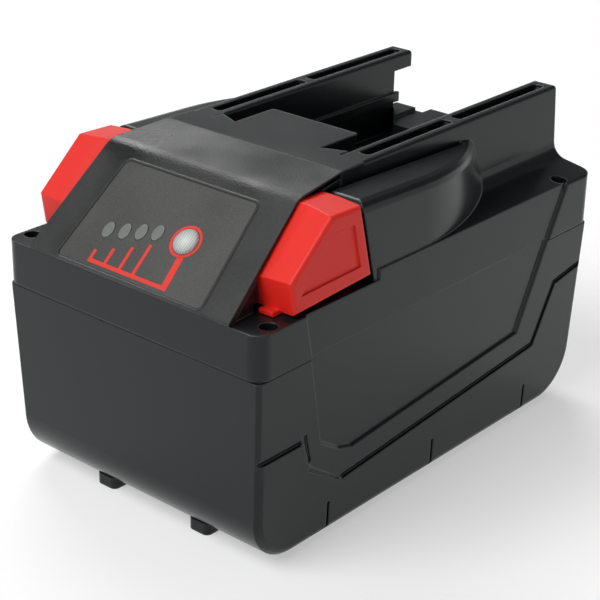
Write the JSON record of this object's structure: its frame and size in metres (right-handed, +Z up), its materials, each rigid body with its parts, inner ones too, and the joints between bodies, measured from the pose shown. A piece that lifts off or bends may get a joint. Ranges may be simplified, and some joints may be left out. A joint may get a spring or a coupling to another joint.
{
  "type": "power tool battery pack",
  "caption": "Slide-on power tool battery pack: drafted tub of cells, railed cover, sloped charge gauge and sprung release buttons with latch hooks.",
  "frame": {"origin": "centre of the footprint, on the plane of the feet", "axes": "+Z up; -Y is the end with the charge gauge; +Y is the end that enters the tool, along the rails; +X is the right side seen from the gauge end"},
  "size_m": [0.083, 0.134, 0.086],
  "materials": {
    "housing": "moulded black, satin",
    "bezel": "moulded black, grained",
    "label": "printed film, fine texture",
    "lens": "grey diffusing plastic",
    "gauge_button": "speckled grey, matt",
    "button_red": "moulded red, satin",
    "inner_plastic": "moulded, matt",
    "terminal_plastic": "moulded, matt",
    "cell_sleeve": "shrink sleeve over a steel can",
    "nickel": "nickel strip",
    "insulator": "insulating paper",
    "circuit_board": "solder mask",
    "component": "moulded package",
    "contact_metal": "plated spring contact",
    "steel": "zinc plated"
  },
  "bodies": {
    "pack": {"lower_housing": "housing", "upper_housing": "housing", "front_bezel": "bezel", "gauge_label": "label", "gauge_lenses": "lens", "gauge_switch": "component", "gauge_board": "circuit_board", "gauge_leds": "lens", "gauge_board_screws": "steel", "latch_frame": "inner_plastic", "latch_frame_screws": "steel", "main_board": "circuit_board", "power_transistors": "component", "controller_chip": "component", "thermistor": "component", "terminal_block": "terminal_plastic", "gauge_cable": "insulator", "insulator_top": "insulator", "housing_screws": "steel", "cell_strips_right": "nickel", "cell_strips_left": "nickel", "cell_holder_right": "inner_plastic", "cell_holder_left": "inner_plastic", "insulator_right": "insulator", "insulator_left": "insulator", "power_contacts": "contact_metal", "signal_contacts": "contact_metal", "latch_spring_right": "steel", "latch_spring_left": "steel", "cell_01": "cell_sleeve", "cell_02": "cell_sleeve", "cell_03": "cell_sleeve", "cell_04": "cell_sleeve", "cell_05": "cell_sleeve", "cell_06": "cell_sleeve", "cell_07": "cell_sleeve", "cell_08": "cell_sleeve", "cell_09": "cell_sleeve", "cell_10": "cell_sleeve", "cell_11": "cell_sleeve", "cell_12": "cell_sleeve", "cell_13": "cell_sleeve", "cell_14": "cell_sleeve"},
    "release_right": {"release_button_right": "button_red", "latch_arm_right": "button_red"},
    "release_left": {"release_button_left": "button_red", "latch_arm_left": "button_red"},
    "gauge_press": {"gauge_button": "gauge_button", "switch_plunger": "button_red"}
  },
  "joints": [
    {"name": "release_right_slide", "type": "slide", "parent": "pack", "child": "release_right", "axis": [-1, 0, 0], "range_m": [0, 0.0026], "stiffness_N_per_m": 900, "springref_m": -0.003, "deforming": ["latch_spring_right"]},
    {"name": "release_left_slide", "type": "slide", "parent": "pack", "child": "release_left", "axis": [1, 0, 0], "range_m": [0, 0.0026], "stiffness_N_per_m": 900, "springref_m": -0.003, "deforming": ["latch_spring_left"]},
    {"name": "gauge_button_press", "type": "slide", "parent": "pack", "child": "gauge_press", "axis": [0, 0.6461, -0.7632], "range_m": [0, 0.0005], "stiffness_N_per_m": 1500, "springref_m": -0.0005}
  ]
}
